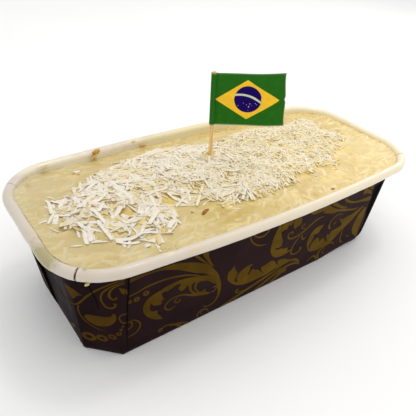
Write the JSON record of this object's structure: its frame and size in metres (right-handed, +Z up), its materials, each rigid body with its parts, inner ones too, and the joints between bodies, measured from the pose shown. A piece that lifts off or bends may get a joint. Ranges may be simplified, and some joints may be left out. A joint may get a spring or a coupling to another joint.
{
  "type": "coconut loaf cake in a paper case",
  "caption": "Loaf cake topped with shredded coconut, in a printed paper baking case with a rolled rim, with a small paper flag on a wooden pick.",
  "frame": {"origin": "centre of the bounding box's bottom face, on the surface that the case stands on", "axes": "+X along the loaf, +Z up, the long side that faces the viewer at -Y"},
  "size_m": [0.2075, 0.0942, 0.101],
  "materials": {
    "printed_board": "dark brown satin board with a printed old-gold scroll ornament",
    "rim_board": "white coated inner face of the board, rolled outwards at the rim",
    "baked_cake": "moist pale yellow baked custard crumb",
    "coconut_shreds": "off-white matt shredded coconut",
    "pick_wood": "plain pale wood",
    "flag_paper": "printed coated paper"
  },
  "bodies": {
    "root": {"paper_case": "printed_board", "cake": "baked_cake", "pick": "pick_wood", "flag": "flag_paper"}
  },
  "joints": []
}
